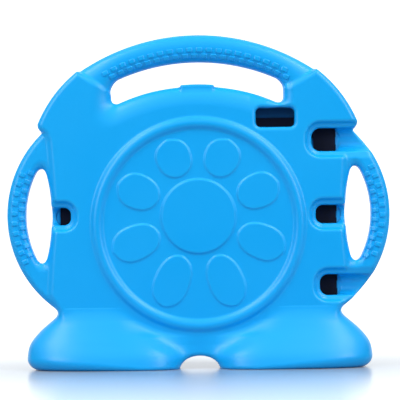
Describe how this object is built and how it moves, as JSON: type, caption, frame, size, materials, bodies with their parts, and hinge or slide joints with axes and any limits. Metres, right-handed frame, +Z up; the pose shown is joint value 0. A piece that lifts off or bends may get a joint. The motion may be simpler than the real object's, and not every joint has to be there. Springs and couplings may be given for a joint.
{
  "type": "kids tablet case with handle",
  "caption": "Moulded foam tablet case with an arched carry handle, looped side handles, broad rounded feet to stand on and cut-outs for ports.",
  "frame": {"origin": "centre of the base on the surface the case stands on, between the feet", "axes": "+X to the right when looking at the back of the case, +Y through the case from its back to its screen side, +Z up"},
  "size_m": [0.334, 0.0768, 0.2915],
  "materials": {
    "foam": "soft matte closed-cell foam, bright blue"
  },
  "bodies": {
    "root": {"tablet_case": "foam"}
  },
  "joints": []
}
